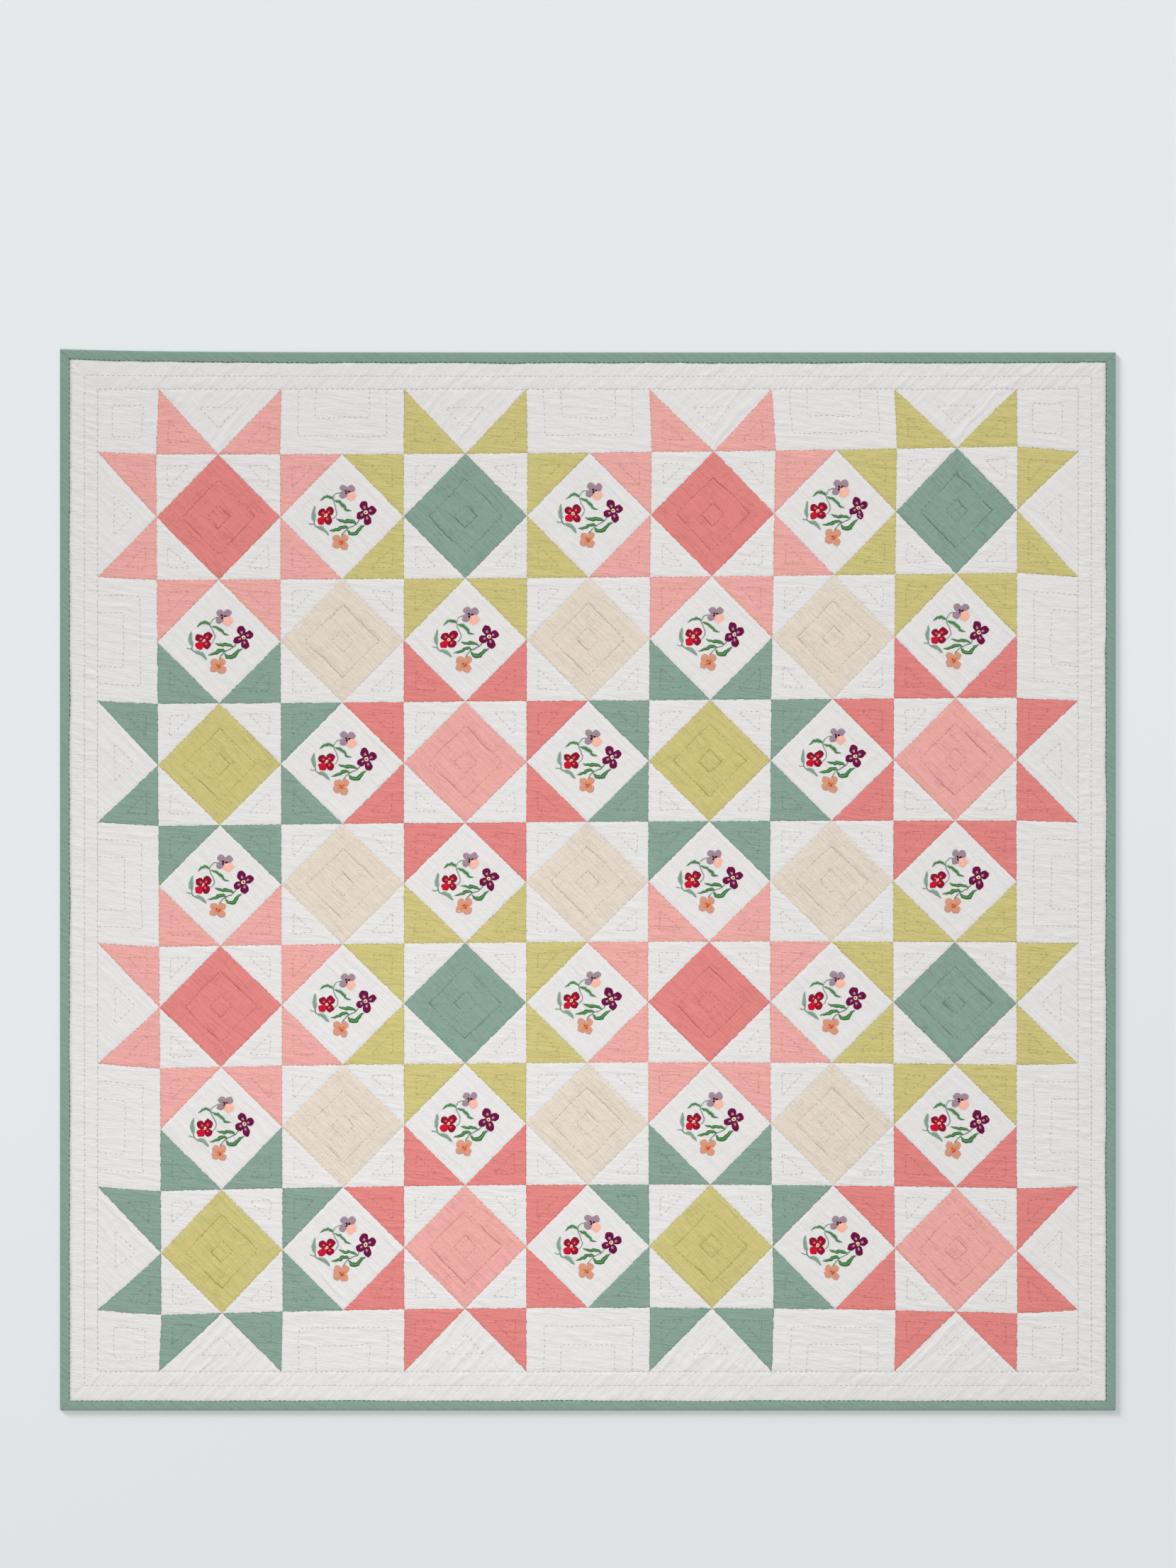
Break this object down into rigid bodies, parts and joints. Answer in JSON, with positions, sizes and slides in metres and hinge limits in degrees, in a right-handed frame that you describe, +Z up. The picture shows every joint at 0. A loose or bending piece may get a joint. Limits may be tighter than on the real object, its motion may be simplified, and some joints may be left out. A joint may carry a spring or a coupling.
{
  "type": "quilted bedspread",
  "caption": "Square patchwork bedspread of star, diamond and flower-embroidered cotton patches, hand-quilted in echoing outlines and bound with a mitred sage edge. It lies flat.",
  "frame": {"origin": "the middle of the outline, on the surface that the bedspread lies on", "axes": "+Z up from the surface, +Y towards the edge nearest the pillows, +X towards the right-hand edge seen from above"},
  "size_m": [2.2, 2.212, 0.0066],
  "materials": {
    "white_cotton": "plain-woven quilting cotton, matt, for the white patches, the border and the underside",
    "sage_cotton": "plain-woven quilting cotton, matt, for the binding and the sage patches",
    "lime_cotton": "plain-woven quilting cotton, matt",
    "coral_cotton": "plain-woven quilting cotton, matt",
    "salmon_cotton": "plain-woven quilting cotton, matt",
    "beige_linen": "plain-woven linen with slubs, matt",
    "quilting_thread": "twisted cotton thread",
    "embroidery_thread": "stranded embroidery cotton in several colours, with a soft lustre"
  },
  "bodies": {
    "root": {"quilted_panel": "white_cotton", "binding_top": "sage_cotton", "binding_left": "sage_cotton", "binding_bottom": "sage_cotton", "binding_right": "sage_cotton"}
  },
  "joints": []
}
